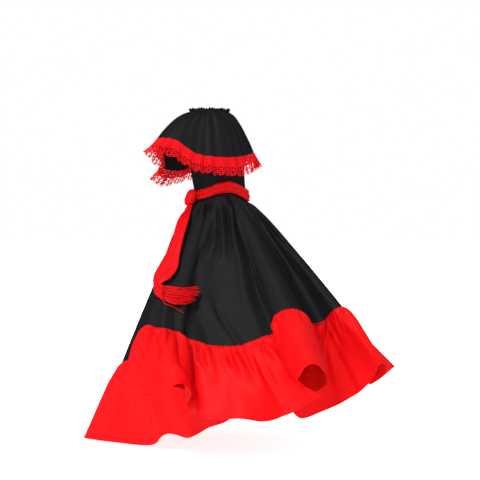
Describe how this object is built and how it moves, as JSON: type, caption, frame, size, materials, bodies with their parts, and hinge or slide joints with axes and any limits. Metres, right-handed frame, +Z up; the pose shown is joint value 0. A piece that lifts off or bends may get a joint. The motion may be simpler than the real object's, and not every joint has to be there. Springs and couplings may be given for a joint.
{
  "type": "halloween costume dress",
  "caption": "Child's black and red Spanish dance costume dress with lace shoulder flounce, swirling flounced skirt and fringed sash.",
  "frame": {"origin": "middle of the neckline, where the dress rests on the wearer's shoulders", "axes": "+Z up, the wearer faces -Y, the wearer's left is +X"},
  "size_m": [1.0719, 1.0513, 1.0298],
  "materials": {
    "black_cloth": "matte polyester",
    "red_cloth": "soft matte polyester",
    "red_lace": "openwork lace",
    "red_satin": "soft sheen",
    "red_fringe": "twisted thread"
  },
  "bodies": {
    "root": {"neck_frill": "black_cloth", "shoulder_flounce_front": "black_cloth", "shoulder_flounce_back": "black_cloth", "lace_front": "red_lace", "lace_back": "red_lace", "bodice_front": "black_cloth", "bodice_back": "black_cloth", "skirt_front": "black_cloth", "skirt_back": "black_cloth", "hem_flounce_left_front": "red_cloth", "hem_flounce_left_back": "red_cloth", "hem_flounce_right_back": "red_cloth", "hem_flounce_right_front": "red_cloth", "sash_band": "red_satin", "sash_knot": "red_satin", "sash_end_near": "red_satin", "sash_end_far": "red_satin", "fringe_near": "red_fringe", "fringe_far": "red_fringe"}
  },
  "joints": []
}
